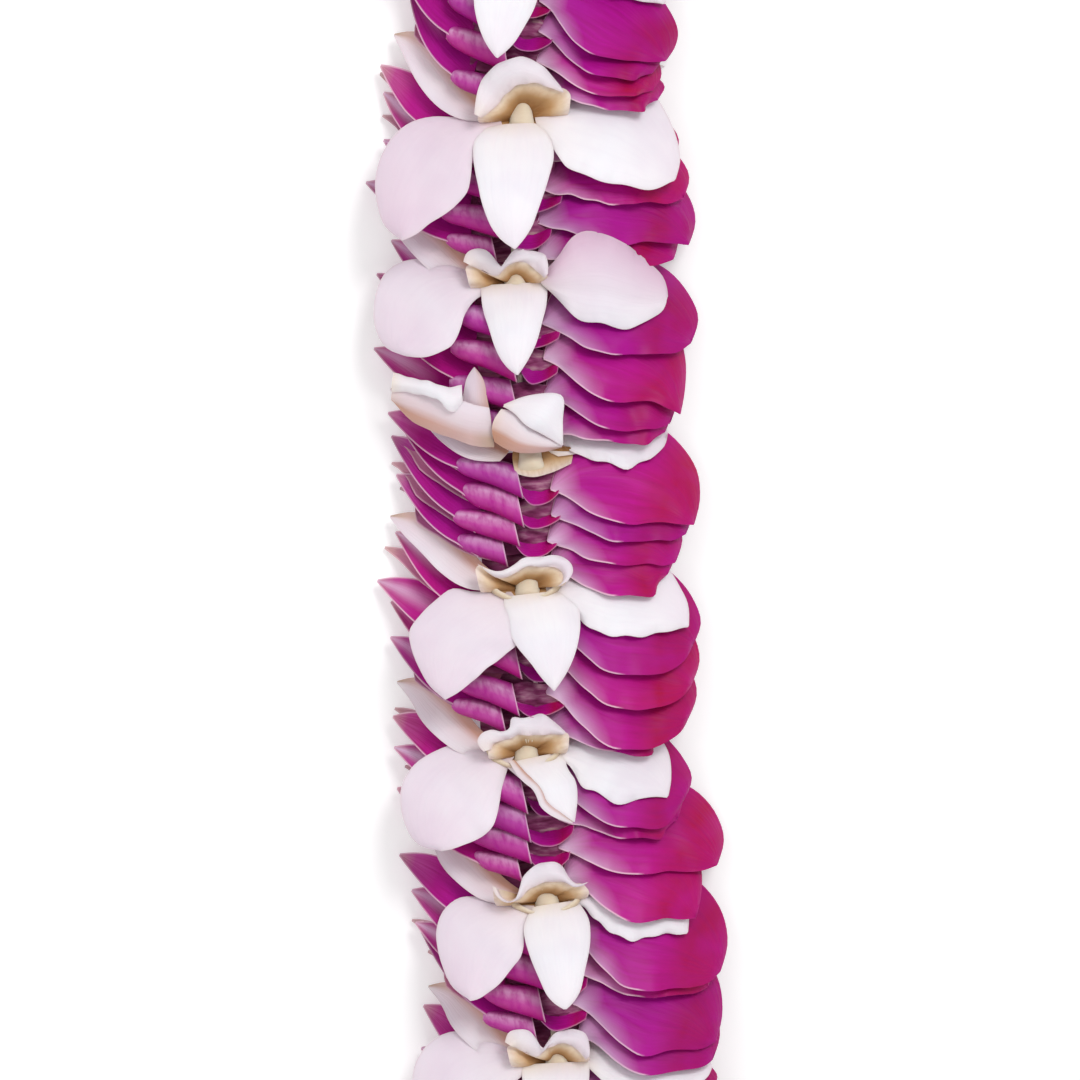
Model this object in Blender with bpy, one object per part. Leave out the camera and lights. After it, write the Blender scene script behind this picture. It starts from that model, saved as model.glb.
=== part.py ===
"""Fresh orchid lei: dendrobium blossoms threaded on a closed loop of cotton string, lying flat.

Metres, +Z up. The loop lies in the XY plane with its long way along Y. The origin is the middle of the
lei's box, on the surface that it rests on. The blossoms face forward along the string, which runs
clockwise seen from above: each white blossom is followed by a stack of four magenta ones.
"""
import math

import bmesh
import bpy
from mathutils import Matrix, Vector

# The string of blossoms
MODULES = 28  # one white blossom and the stack behind it
MAGENTA_IN_STACK = 4
BLOSSOM_PITCH = 0.0065  # from one throat to the next, along the string
SIDE_LENGTH = 0.200  # each straight side of the loop
SIDE_LEAN = math.radians(2.9)  # the two sides close up towards -Y

# One blossom, pressed back over the next one
BLOSSOM_LEAN = math.radians(30.0)  # between its face and the string
SIDE_SAG = 8.0  # the petals hang by this times the square of their distance from the string
# Half of the outline on the blossom's own face, (across, up), seen from the front
HALF_OUTLINE = (
    (0.000, 0.033),  # tip of the dorsal sepal
    (0.008, 0.015),  # notch beside it
    (0.020, 0.027),  # broad petal
    (0.032, 0.014),
    (0.028, -0.002),
    (0.012, -0.006),  # notch under the petal
    (0.015, -0.026),  # tip of the lateral sepal
    (0.000, -0.012),  # notch under the lip
)
MIDDLE = 0.5  # the ring halfway out on a blossom, as a share of its outline
HALF_THICKNESS = 0.0007  # of a blossom at its middle, measured along the string
STACK_NOTCH = 0.0052  # how far a fold between two nested blossoms reaches in, along the string
STACK_HOLLOW = 0.0040  # depth of the hollow behind the last blossom of a stack

# The string and its knot
STRING_RADIUS = 0.0005
BORE_RADIUS = 0.0008  # of the hole that the needle leaves
KNOT_MODULE = 16  # the knot lies behind this module's white blossom
KNOT_RADIUS = 0.0016
KNOT_HALF_THICKNESS = 0.0009
TAIL_LENGTH = 0.007
TAIL_RADIUS = 0.0004

MODULE_LENGTH = BLOSSOM_PITCH * (1 + MAGENTA_IN_STACK)
LOOP_LENGTH = MODULES * MODULE_LENGTH
# The loop is a belt round two circles, which these two sizes follow from
RADIUS_DIFFERENCE = SIDE_LENGTH * math.tan(SIDE_LEAN)
RADIUS_SUM = (LOOP_LENGTH - 2 * SIDE_LENGTH - 2 * SIDE_LEAN * RADIUS_DIFFERENCE) / math.pi
FAR_RADIUS = (RADIUS_SUM + RADIUS_DIFFERENCE) / 2
NEAR_RADIUS = (RADIUS_SUM - RADIUS_DIFFERENCE) / 2
CENTRE_DISTANCE = SIDE_LENGTH / math.cos(SIDE_LEAN)
FAR_ARC = FAR_RADIUS * (math.pi + 2 * SIDE_LEAN)

# Along the string from a white blossom's throat, places where the string and the holes have a point
WHITE_HOLE = (HALF_THICKNESS, -HALF_THICKNESS)
STACK_FRONT = HALF_THICKNESS - BLOSSOM_PITCH
STACK_BACK = -MAGENTA_IN_STACK * BLOSSOM_PITCH - STACK_HOLLOW
STACK_MIDDLE = (STACK_FRONT + STACK_BACK) / 2
STRING_STOPS = (*WHITE_HOLE, STACK_FRONT, STACK_MIDDLE, STACK_BACK)

RING_POINTS = 2 * len(HALF_OUTLINE) - 2


def clear_scene():
    for item in list(bpy.data.objects):
        bpy.data.objects.remove(item, do_unlink=True)


def collection(name):
    group = bpy.data.collections.new(name)
    bpy.context.scene.collection.children.link(group)
    return group


def material(name, colour, roughness):
    finish = bpy.data.materials.new(name)
    finish.use_nodes = True
    shader = finish.node_tree.nodes["Principled BSDF"]
    shader.inputs["Base Color"].default_value = (*colour, 1.0)
    shader.inputs["Roughness"].default_value = roughness
    shader.inputs["Metallic"].default_value = 0.0
    return finish


def loop_place(along):
    """The string's point and heading angle at a length along the loop, from the left side's -Y end."""
    along = along % LOOP_LENGTH
    left = math.pi + SIDE_LEAN  # angle of the left side's outward direction
    far_centre = Vector((0.0, CENTRE_DISTANCE / 2))
    near_centre = Vector((0.0, -CENTRE_DISTANCE / 2))
    if along < SIDE_LENGTH:
        outward = left
        start = near_centre + NEAR_RADIUS * Vector((math.cos(left), math.sin(left)))
        point = start + along * Vector((math.sin(left), -math.cos(left)))
    elif along < SIDE_LENGTH + FAR_ARC:
        outward = left - (along - SIDE_LENGTH) / FAR_RADIUS
        point = far_centre + FAR_RADIUS * Vector((math.cos(outward), math.sin(outward)))
    elif along < 2 * SIDE_LENGTH + FAR_ARC:
        outward = -SIDE_LEAN
        start = far_centre + FAR_RADIUS * Vector((math.cos(outward), math.sin(outward)))
        run = along - SIDE_LENGTH - FAR_ARC
        point = start + run * Vector((math.sin(outward), -math.cos(outward)))
    else:
        outward = -SIDE_LEAN - (along - 2 * SIDE_LENGTH - FAR_ARC) / NEAR_RADIUS
        point = near_centre + NEAR_RADIUS * Vector((math.cos(outward), math.sin(outward)))
    return point, outward - math.pi / 2


def on_loop(along, across, up):
    """World point at a length along the string, across it towards the inside, and above it."""
    point, heading = loop_place(along)
    inward = Vector((math.sin(heading), -math.cos(heading)))
    place = point + across * inward
    return Vector((place.x, place.y, up))


def outline():
    """The blossom's whole outline, clockwise from the dorsal sepal's tip."""
    other_side = [(-across, up) for across, up in HALF_OUTLINE[-2:0:-1]]
    return list(HALF_OUTLINE) + other_side


def blossom_ring(share, front):
    """A ring on a blossom's face, share of the way out, its throat at front along the string."""
    ring = []
    for across, up in outline():
        across, up = share * across, share * up
        height = up * math.sin(BLOSSOM_LEAN) - SIDE_SAG * across * across
        ring.append((front - up * math.cos(BLOSSOM_LEAN), across, height))
    return ring


def hole_ring(along):
    """A ring of the hole round the string."""
    ring = []
    for index in range(RING_POINTS):
        turn = 2 * math.pi * index / RING_POINTS
        ring.append((along, BORE_RADIUS * math.sin(turn), BORE_RADIUS * math.cos(turn)))
    return ring


def white_rings():
    """A white blossom as rings, from its throat over the face and back to its throat."""
    front, back = WHITE_HOLE
    return [
        hole_ring(front),
        blossom_ring(MIDDLE, front),
        blossom_ring(1.0, 0.0),
        blossom_ring(MIDDLE, back),
        hole_ring(back),
    ]


def stack_rings():
    """Four nested magenta blossoms as rings: each hem stands out past a fold."""
    rings = [hole_ring(STACK_FRONT), blossom_ring(MIDDLE, STACK_FRONT)]
    for index in range(1, MAGENTA_IN_STACK + 1):
        throat = -index * BLOSSOM_PITCH
        rings.append(blossom_ring(1.0, throat))
        if index < MAGENTA_IN_STACK:
            rings.append(blossom_ring(MIDDLE, throat - STACK_NOTCH))
    rings.append(blossom_ring(MIDDLE, STACK_BACK))
    rings.append(hole_ring(STACK_BACK))
    rings.append(hole_ring(STACK_MIDDLE))
    return rings


def loft(name, rings, throat, group, finish):
    """A solid lofted through the rings and back to the first one, bent to the loop at throat."""
    point, heading = loop_place(throat)
    frame = Matrix.Translation((point.x, point.y, 0.0)) @ Matrix.Rotation(heading, 4, "Z")
    to_local = frame.inverted()
    mesh = bmesh.new()
    rows = []
    for ring in rings:
        places = [to_local @ on_loop(throat + along, across, up) for along, across, up in ring]
        rows.append([mesh.verts.new(place) for place in places])
    for row, following in zip(rows, rows[1:] + rows[:1]):
        for index in range(RING_POINTS):
            after = (index + 1) % RING_POINTS
            mesh.faces.new((row[index], following[index], following[after], row[after]))
    bmesh.ops.triangulate(mesh, faces=mesh.faces[:])
    data = bpy.data.meshes.new(name)
    mesh.to_mesh(data)
    mesh.free()
    data.materials.append(finish)
    solid = bpy.data.objects.new(name, data)
    solid.matrix_world = frame
    group.objects.link(solid)
    return solid


def string_mesh(group):
    """The closed loop of string as a mesh, with a point at each end of every hole."""
    curve = bpy.data.curves.new("string", "CURVE")
    curve.dimensions = "3D"
    curve.bevel_depth = STRING_RADIUS
    curve.bevel_resolution = 1
    stops = []
    for module in range(MODULES):
        throat = throat_of(module)
        stops.extend(on_loop(throat + along, 0.0, 0.0) for along in STRING_STOPS)
    spline = curve.splines.new("POLY")
    spline.points.add(len(stops) - 1)
    for point, stop in zip(spline.points, stops):
        point.co = (*stop, 1.0)
    spline.use_cyclic_u = True
    guide = bpy.data.objects.new("string_guide", curve)
    group.objects.link(guide)
    bpy.context.view_layer.update()
    evaluated = guide.evaluated_get(bpy.context.evaluated_depsgraph_get())
    data = bpy.data.meshes.new_from_object(evaluated)
    bpy.data.objects.remove(guide, do_unlink=True)
    return data


def knot_cutters(group):
    """The pressed knot and the two cut tails, as closed meshes where they lie."""
    along = throat_of(KNOT_MODULE) + (WHITE_HOLE[1] + STACK_FRONT) / 2
    point, heading = loop_place(along)
    frame = Matrix.Translation((point.x, point.y, 0.0)) @ Matrix.Rotation(heading, 4, "Z")
    lean = Matrix.Rotation(BLOSSOM_LEAN, 4, "Y")
    size = Matrix.Diagonal((KNOT_RADIUS, KNOT_RADIUS, KNOT_HALF_THICKNESS, 1.0))
    shapes = []
    mesh = bmesh.new()
    bmesh.ops.create_uvsphere(mesh, u_segments=10, v_segments=6, radius=1.0, matrix=frame @ lean @ size)
    shapes.append(mesh)
    for side in (-1, 1):
        mesh = bmesh.new()
        middle = Matrix.Translation((0.0, side * TAIL_LENGTH / 2, 0.0))
        turn = Matrix.Rotation(math.pi / 2, 4, "X")
        bmesh.ops.create_cone(
            mesh, cap_ends=True, segments=6, radius1=TAIL_RADIUS, radius2=TAIL_RADIUS,
            depth=TAIL_LENGTH, matrix=frame @ middle @ turn,
        )
        shapes.append(mesh)
    cutters = []
    for index, mesh in enumerate(shapes):
        data = bpy.data.meshes.new(f"knot_shape_{index}")
        mesh.to_mesh(data)
        mesh.free()
        shape = bpy.data.objects.new(f"knot_shape_{index}", data)
        shape.hide_render = True
        shape.display_type = "WIRE"
        group.objects.link(shape)
        cutters.append(shape)
    return cutters


def make_thread(group, cutters, finish):
    """The string with its knot and tails fused on, one closed body."""
    thread = bpy.data.objects.new("thread", string_mesh(group))
    thread.data.materials.clear()
    thread.data.materials.append(finish)
    group.objects.link(thread)
    for shape in knot_cutters(cutters):
        union = thread.modifiers.new("knot", "BOOLEAN")
        union.operation = "UNION"
        union.solver = "EXACT"
        union.object = shape
    return thread


def throat_of(module):
    """Where a module's white blossom sits along the string: module 0 is at the left side's far end."""
    return SIDE_LENGTH - module * MODULE_LENGTH


def rest_on_origin(group, cutters):
    """Move the lei so that its box stands on the origin, centred."""
    bpy.context.view_layer.update()
    places = [item.matrix_world @ vert.co for item in group.objects for vert in item.data.vertices]
    low = Vector([min(place[axis] for place in places) for axis in range(3)])
    high = Vector([max(place[axis] for place in places) for axis in range(3)])
    shift = Vector((-(low.x + high.x) / 2, -(low.y + high.y) / 2, -low.z))
    for item in list(group.objects) + list(cutters.objects):
        item.location += shift


def main():
    clear_scene()
    lei = collection("fresh_flower_lei")
    cutters = collection("knot_cutters")
    white = material("white_petal", (0.89, 0.83, 0.89), 0.5)
    magenta = material("magenta_petal", (0.45, 0.013, 0.22), 0.45)
    cotton = material("cotton_string", (0.80, 0.76, 0.66), 0.9)
    make_thread(lei, cutters, cotton)
    for module in range(MODULES):
        throat = throat_of(module)
        loft(f"white_blossom_{module + 1:02d}", white_rings(), throat, lei, white)
        loft(f"magenta_blossoms_{module + 1:02d}", stack_rings(), throat, lei, magenta)
    rest_on_origin(lei, cutters)


if __name__ == "__main__":
    main()
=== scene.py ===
"""Looks of a fresh orchid lei: white and magenta dendrobium blossoms on a cotton string.

Every blossom is built from its own organs: sepals, petals, lip, throat and column. Each organ is a
thin closed sheet drawn through a few margin lines in millimetres, measured from the blossom's throat:
across the strand (towards the loop's inside), back along the string, and lift above the slope on
which the nested blossoms lie. Each sheet is bent round the loop, and those of one node are joined.
"Behind" is further back along the string: a blossom lies on top of the one behind it.
"""
import math
from types import SimpleNamespace

import bpy
import numpy as np
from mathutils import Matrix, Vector


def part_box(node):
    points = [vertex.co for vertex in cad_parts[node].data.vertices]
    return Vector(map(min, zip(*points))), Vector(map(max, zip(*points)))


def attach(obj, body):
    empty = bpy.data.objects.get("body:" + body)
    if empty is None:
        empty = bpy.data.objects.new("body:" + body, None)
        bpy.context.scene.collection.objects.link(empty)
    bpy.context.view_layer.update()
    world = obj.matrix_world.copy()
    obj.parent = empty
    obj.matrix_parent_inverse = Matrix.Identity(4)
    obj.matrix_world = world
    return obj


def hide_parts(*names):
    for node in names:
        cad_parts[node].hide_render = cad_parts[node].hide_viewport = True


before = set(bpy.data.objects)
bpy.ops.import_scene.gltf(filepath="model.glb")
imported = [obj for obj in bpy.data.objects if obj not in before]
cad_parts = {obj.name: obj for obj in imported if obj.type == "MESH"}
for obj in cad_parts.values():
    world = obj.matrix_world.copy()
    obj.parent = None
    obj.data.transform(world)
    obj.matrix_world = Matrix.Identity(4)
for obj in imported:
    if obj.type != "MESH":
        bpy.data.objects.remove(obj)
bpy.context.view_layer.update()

bl_info = {
    "name": "Fresh Flower Lei",
    "version": (1, 0, 0),
    "blender": (4, 5, 0),
    "location": "3D View > Sidebar > Lei",
    "description": "Petals, lips, string, floor, light and camera of an orchid lei round its frame",
    "category": "Add Mesh",
}

MM = 0.001
SEED = 7
PLACE_SEED = SEED + 100
MAGENTA_SEED = SEED + 500

# The string's loop: a belt round two circles, as the frame is built
MODULES = 28
MAGENTA_IN_STACK = 4
PITCH = 6.5 * MM
SIDE_LENGTH = 200.0 * MM
SIDE_LEAN = math.radians(2.9)
MODULE_LENGTH = PITCH * (1 + MAGENTA_IN_STACK)
LOOP_LENGTH = MODULES * MODULE_LENGTH
RADIUS_DIFFERENCE = SIDE_LENGTH * math.tan(SIDE_LEAN)
RADIUS_SUM = (LOOP_LENGTH - 2 * SIDE_LENGTH - 2 * SIDE_LEAN * RADIUS_DIFFERENCE) / math.pi
FAR_RADIUS = (RADIUS_SUM + RADIUS_DIFFERENCE) / 2
NEAR_RADIUS = (RADIUS_SUM - RADIUS_DIFFERENCE) / 2
CENTRE_DISTANCE = SIDE_LENGTH / math.cos(SIDE_LEAN)
FAR_ARC = FAR_RADIUS * (math.pi + 2 * SIDE_LEAN)
STRING_LOW, STRING_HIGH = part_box("thread")
STRING_HEIGHT = (STRING_LOW.z + STRING_HIGH.z) / 2
LOOP_MIDDLE = (STRING_LOW.y + STRING_HIGH.y) / 2 - RADIUS_DIFFERENCE / 2

# The slope on which the blossoms lie over one another, in millimetres. It flattens near the table
SLOPE = 0.47
SIDE_SAG = 0.0085
LOWEST = 0.35
FLATTENS_WITHIN = 2.0
TABLE_GAP = 0.1

# An organ thins over this many millimetres towards its margin, down to this share of its thickness
THINNING = 2.5
MARGIN_SHARE = 0.25
TIP_MARGIN = 0.1
# A dent's width as a share of the organ, and the angle from which a fold of a sheet stays crisp
DENT_WIDTH = 0.22
CRISP_ANGLE = math.radians(50)

# Walls of the thinner organs, as a share of a white petal's thickness
LIGHT_WALL = 0.78
THIN_WALL = 0.67

# Places of the finishes in the two lists that the blossoms' operators make; the petals' own is first
THROAT = 1
NARROW_PETAL, ROLLED_SEPAL, HEART = 1, 2, 3

# The pale value of a magenta organ that has no pale claw, only the thin painted highlight along its
# margin
NO_CLAW = 0.08

# The stage: the view's middle is so far along and across from the throat of a module's white blossom
VIEW_MODULE = 3
VIEW_ALONG = 7.3 * MM
VIEW_ACROSS = 2.4 * MM
SENSOR_WIDTH = 36.0
VIEW_CLIP = 20.0
FLOOR_SIZE = 6.0
SKY_STRENGTH = 0.7
# Round lamps: name, offset from the view's middle in metres, size in metres and watts
LAMPS = (
    ("key", (0.55, 0.75, 1.3), 0.6, 9.5),
    ("fill", (-0.9, 0.1, 1.1), 1.0, 2.0),
)


def srgb(code):
    """A hex colour as linear red, green, blue and alpha."""
    values = [int(code[place:place + 2], 16) / 255 for place in (1, 3, 5)]
    linear = [v / 12.92 if v <= 0.04045 else ((v + 0.055) / 1.055) ** 2.4 for v in values]
    return (*linear, 1.0)


def loop_points(along, across):
    """World X and Y of points at lengths along the string and distances across it, as arrays."""
    along = np.mod(along, LOOP_LENGTH)
    left = math.pi + SIDE_LEAN
    far_y = LOOP_MIDDLE + CENTRE_DISTANCE / 2
    near_y = LOOP_MIDDLE - CENTRE_DISTANCE / 2
    second = SIDE_LENGTH + FAR_ARC
    third = second + SIDE_LENGTH
    on_far = (along >= SIDE_LENGTH) & (along < second)
    on_right = (along >= second) & (along < third)
    on_near = along >= third
    outward = np.full(along.shape, left)
    outward[on_far] = left - (along[on_far] - SIDE_LENGTH) / FAR_RADIUS
    outward[on_right] = -SIDE_LEAN
    outward[on_near] = -SIDE_LEAN - (along[on_near] - third) / NEAR_RADIUS
    on_left = along < SIDE_LENGTH
    run = np.where(on_left, along, 0.0) + np.where(on_right, along - second, 0.0)
    radius = np.where(on_far | on_right, FAR_RADIUS, NEAR_RADIUS)
    centre_y = np.where(on_far | on_right, far_y, near_y)
    reach = radius - across
    x = reach * np.cos(outward) + run * np.sin(outward)
    y = centre_y + reach * np.sin(outward) - run * np.cos(outward)
    return x, y


def white_throat(module):
    """Where a module's white blossom sits along the string."""
    return SIDE_LENGTH - module * MODULE_LENGTH


def smooth_line(points, count):
    """count points on a smooth curve through the given ones, spaced by chord length."""
    points = np.asarray(points, float)
    steps = np.linalg.norm(np.diff(points, axis=0), axis=1)
    knots = np.concatenate([[0.0], np.cumsum(np.maximum(steps, 1e-6))])
    if len(points) == 2:
        share = np.linspace(0.0, 1.0, count)[:, None]
        return points[0] * (1 - share) + points[1] * share
    slopes = np.empty_like(points)
    chords = np.diff(points, axis=0) / np.diff(knots)[:, None]
    before = np.diff(knots)[:-1, None]
    after = np.diff(knots)[1:, None]
    slopes[1:-1] = (chords[:-1] * after + chords[1:] * before) / (before + after)
    slopes[0] = 1.5 * chords[0] - 0.5 * slopes[1]
    slopes[-1] = 1.5 * chords[-1] - 0.5 * slopes[-2]
    places = np.linspace(0.0, knots[-1], count)
    piece = np.clip(np.searchsorted(knots, places, side="right") - 1, 0, len(steps) - 1)
    width = (knots[piece + 1] - knots[piece])[:, None]
    t = (places - knots[piece])[:, None] / width
    return (
        (2 * t**3 - 3 * t**2 + 1) * points[piece]
        + (t**3 - 2 * t**2 + t) * width * slopes[piece]
        + (3 * t**2 - 2 * t**3) * points[piece + 1]
        + (t**3 - t**2) * width * slopes[piece + 1]
    )


def sheet_surface(lines, rows, columns):
    """A smooth surface through margin lines: rows + 1 points along them, columns + 1 across them."""
    drawn = np.stack([smooth_line(line, rows + 1) for line in lines])
    surface = np.empty((rows + 1, columns + 1, 3))
    for row in range(rows + 1):
        surface[row] = smooth_line(drawn[:, row], columns + 1)
    return surface


SHEETS = {}


def thin_sheet(rows, columns):
    """A flat closed sheet to copy, modelled once per size: a grid that is given a wall.

    With it come the row, column and side (1 up, -1 down) of each of its points.
    """
    if (rows, columns) not in SHEETS:
        bpy.ops.object.select_all(action="DESELECT")
        bpy.ops.mesh.primitive_grid_add(
            x_subdivisions=rows, y_subdivisions=columns, size=2.0, calc_uvs=False)
        sheet = bpy.context.object
        wall = sheet.modifiers.new("wall", "SOLIDIFY")
        wall.thickness = 0.1
        wall.offset = 0.0
        bpy.ops.object.modifier_apply(modifier="wall")
        flat = np.empty((len(sheet.data.vertices), 3), np.float32)
        sheet.data.vertices.foreach_get("co", flat.ravel())
        row = np.rint((flat[:, 0] + 1) / 2 * rows).astype(int)
        column = np.rint((flat[:, 1] + 1) / 2 * columns).astype(int)
        SHEETS[rows, columns] = (sheet, row, column, np.sign(flat[:, 2]))
    return SHEETS[rows, columns]


def put_sheets_away():
    """Removes the flat sheets once all organs have been copied from them."""
    for sheet, *_ in SHEETS.values():
        bpy.data.meshes.remove(sheet.data)
    SHEETS.clear()


def upward_normals(world):
    """Unit normals of a surface in world space, and whether they were turned to point up."""
    normals = np.cross(np.gradient(world, axis=0), np.gradient(world, axis=1))
    normals /= np.maximum(np.linalg.norm(normals, axis=2, keepdims=True), 1e-12)
    turned = normals[:, :, 2].mean() < 0
    return (-normals if turned else normals), turned


def margin_distance(surface, a, b):
    """How far each point of a surface lies from its side margins and its tip, in millimetres."""
    width = np.linalg.norm(surface[:, -1] - surface[:, 0], axis=1)[:, None]
    midrib = surface[:, (surface.shape[1] - 1) // 2]
    length = np.linalg.norm(np.diff(midrib, axis=0), axis=1).sum()
    return np.minimum((1 - np.abs(b)) * width / 2, (1 - a) * length + TIP_MARGIN)


class Organs:
    """The organs of one node's blossoms: copies of flat sheets, shaped one by one, then joined."""

    def __init__(self, chance, thickness, finishes):
        self.chance = chance
        self.thickness = thickness
        self.finishes = finishes
        self.throat = 0.0
        self.offset = 0.0
        self.copies = []

    def next_blossom(self, throat, offset):
        """The organs that follow belong to a blossom at this length along the string.

        offset is how far its throat lies across the string, in millimetres.
        """
        self.throat = throat
        self.offset = offset

    def add(self, lines, size, wall=1.0, finish=0, buff=0.0, pale=1.0, **shaping):
        """Adds one organ of the blossom. Its lines are in millimetres from the throat.

        size is its number of faces along and across, wall its share of a white petal's thickness
        and finish its place in the finishes, where the first is the petals' own.
        buff (how beige it is: painted shade on white organs, how much of the throat's own cream
        replaces its painted shade, a beige tint on magenta ones) and pale (its tint or pale claw, a
        number or a function of the place on it; on white petals the tint is in places painted shade,
        and on magenta ones it brings the painted highlight along the margin) are for the materials.
        The shaping is what soften() takes.
        """
        rows, columns = size
        a = np.linspace(0.0, 1.0, rows + 1)[:, None]
        b = np.linspace(-1.0, 1.0, columns + 1)[None, :]
        surface = sheet_surface(lines, rows, columns)
        self.soften(surface, a, b, **shaping)
        margin = margin_distance(surface, a, b)
        world = self.laid(surface)
        normals, mirrored = upward_normals(world)
        sheet, row, column, side = thin_sheet(rows, columns)
        taper = np.clip(MARGIN_SHARE + margin / THINNING, MARGIN_SHARE, 1.0)
        half = side * self.thickness * wall / 2 * taper[row, column]
        points = world[row, column] + normals[row, column] * half[:, None]
        points[:, 2] = np.maximum(points[:, 2], TABLE_GAP * MM)
        pale = np.broadcast_to(pale(a, b) if callable(pale) else pale, margin.shape)
        place = np.stack([*np.broadcast_arrays(a, b), margin], axis=2)[row, column]
        tone = np.empty((len(points), 4))
        tone[:, 0] = self.chance.uniform(0, 1)
        tone[:, 1] = (1 - side) / 2
        tone[:, 2] = buff
        tone[:, 3] = pale[row, column]
        organ = sheet.copy()
        organ.data = sheet.data.copy()
        organ.data.vertices.foreach_set("co", points.astype(np.float32).ravel())
        if mirrored:
            organ.data.flip_normals()
        petal_field = organ.data.attributes.new("petal", "FLOAT_VECTOR", "POINT")
        petal_field.data.foreach_set("vector", place.astype(np.float32).ravel())
        tone_field = organ.data.attributes.new("tone", "FLOAT_COLOR", "POINT")
        tone_field.data.foreach_set("color", tone.astype(np.float32).ravel())
        organ.data.materials.append(self.finishes[finish])
        bpy.context.scene.collection.objects.link(organ)
        self.copies.append(organ)

    def soften(self, surface, a, b, ruffle=0.0, waves=5.0, bump=0.25, fray=0.0, crease=0.0):
        """Makes a smooth surface uneven, in millimetres.

        ruffle lifts the margins in so many waves, fray shifts them sideways, bump bends the blade in
        broad swells and crease dents it once.
        """
        phase = self.chance.uniform(0, 2 * math.pi, 6)
        middle = np.sin(np.pi * np.clip(a * 1.1 - 0.05, 0, 1)) ** 0.5
        edge = np.abs(b) ** 3 * middle
        wave = np.sin(waves * 2 * math.pi * a + phase[0] + b)
        wave = wave + 0.4 * np.sin(2.3 * waves * 2 * math.pi * a + phase[1] - 2 * b)
        swell = np.sin(3.1 * math.pi * a + phase[2]) * np.cos(2.2 * b + phase[3])
        spot_a, spot_b = 0.55 + 0.3 * self.chance.uniform(), self.chance.uniform(-0.3, 0.6)
        run = (a - spot_a) * math.cos(phase[4]) * 2 + (b - spot_b) * math.sin(phase[4])
        dent = np.exp(-(run / DENT_WIDTH) ** 2) * middle
        slow, quick = self.chance.uniform(7, 15), self.chance.uniform(18, 34)
        tear = np.sin(slow * a + phase[5] + b) + 0.5 * np.sin(quick * a + phase[1])
        surface[:, :, 1] += fray * b**2 * np.sign(b) * middle * tear
        surface[:, :, 2] += ruffle * edge * wave + bump * swell - crease * dent

    def laid(self, surface):
        """The surface in world space: laid on the blossoms' slope and bent round the loop."""
        across, back, lift = np.moveaxis(surface, 2, 0)
        height = STRING_HEIGHT / MM + SLOPE * back - SIDE_SAG * across**2 + lift
        over = height - LOWEST - FLATTENS_WITHIN
        flattened = LOWEST + FLATTENS_WITHIN * np.exp(over / FLATTENS_WITHIN)
        height = np.where(over < 0, flattened, height)
        x, y = loop_points(self.throat - back * MM, (across + self.offset) * MM)
        return np.stack([x, y, height * MM], axis=2)

    def join(self, name, slot):
        """The organs joined to one piece at the origin, with soft faces and crisp margins."""
        bpy.ops.object.select_all(action="DESELECT")
        for organ in self.copies:
            organ.select_set(True)
        piece = self.copies[0]
        bpy.context.view_layer.objects.active = piece
        bpy.ops.object.join()
        bpy.ops.object.shade_smooth_by_angle(angle=CRISP_ANGLE)
        piece.name = piece.data.name = name
        return piece


def lifted(line, lifts):
    """A line of (across, back) points with lifts spread evenly over it, or one lift for all."""
    lifts = np.atleast_1d(lifts)
    spread = np.interp(np.linspace(0, 1, len(line)), np.linspace(0, 1, len(lifts)), lifts)
    return np.column_stack([np.asarray(line, float), spread])


def petal(first, second, crown=1.4, lifts=(0.0, 0.0)):
    """Five lines of a petal between two margins that start at its base and meet at its tip."""
    one = smooth_line(lifted(first, lifts[0]), 11)
    two = smooth_line(lifted(second, lifts[1]), 11)
    body = np.sin(np.pi * np.linspace(0.0, 1.0, 11)) ** 0.6
    lines = []
    for across in (0.0, 0.25, 0.5, 0.75, 1.0):
        line = one * (1 - across) + two * across
        line[:, 2] += crown * (1 - (2 * across - 1) ** 2) * body
        lines.append(line)
    return lines


# White blossoms in six habits. Every outline is (across, back) in millimetres from the throat.
# The right and left petals' shade values are how much painted shade tints the right petal pink by its
# upper margin and the left petal lilac, teeth counts the fringe in the throat, ridged tells whether
# its side ridges show, and strip is the margin of a dorsal sepal that is twisted, showing its
# underside, beige with painted shade.
OPEN = {
    "left_petal_shade": 0.34,
    "ridged": False,
    "left": (
        ((-4, 2.5), (-9.5, 2.2), (-15.8, 1), (-21, 1.2), (-26, 4), (-29.6, 10), (-30.4, 16),
         (-29.3, 21.5), (-27.6, 25), (-25.4, 26.2)),
        ((-3.5, 4.5), (-9.5, 8), (-10.4, 12.5), (-11.4, 17), (-15, 20.5), (-19, 23.0),
         (-22.4, 25.4), (-25.2, 26.4)),
    ),
    "dorsal": (
        ((-4.5, 3.6), (-9, 5.4), (-9.9, 9.2), (-9.3, 15.5), (-8.3, 21), (-5.6, 27), (-2.6, 29.6)),
        ((3, 3.6), (5.4, 6), (6.5, 9.2), (5.2, 15.2), (3, 21), (0.8, 26), (-2.3, 29.7)),
    ),
    "right": (
        ((3, 2), (9, -2), (17, -5), (25, -4), (30, 1.5), (31.9, 7.3), (32.3, 13), (31.2, 16.2)),
        ((3.4, 4.6), (6.2, 8.4), (9.8, 13.4), (13.4, 15.6), (17, 17), (21, 17.8), (26.5, 18),
         (30.9, 16.6)),
    ),
    "lip": (
        ((-9.3, 1.4), (-8.9, -1.4), (-7.5, -5.4), (-4.6, -8.6), (-0.4, -10.2), (3.9, -9), (7, -6.2),
         (9, -3.2)),
        ((-8, 2.2), (-6, 0.9), (-4, -0.8), (-2.3, -2.8), (0.2, -4.6), (3.4, -4.6), (6.5, -3.4),
         (9.2, -2.4)),
    ),
}
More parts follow.
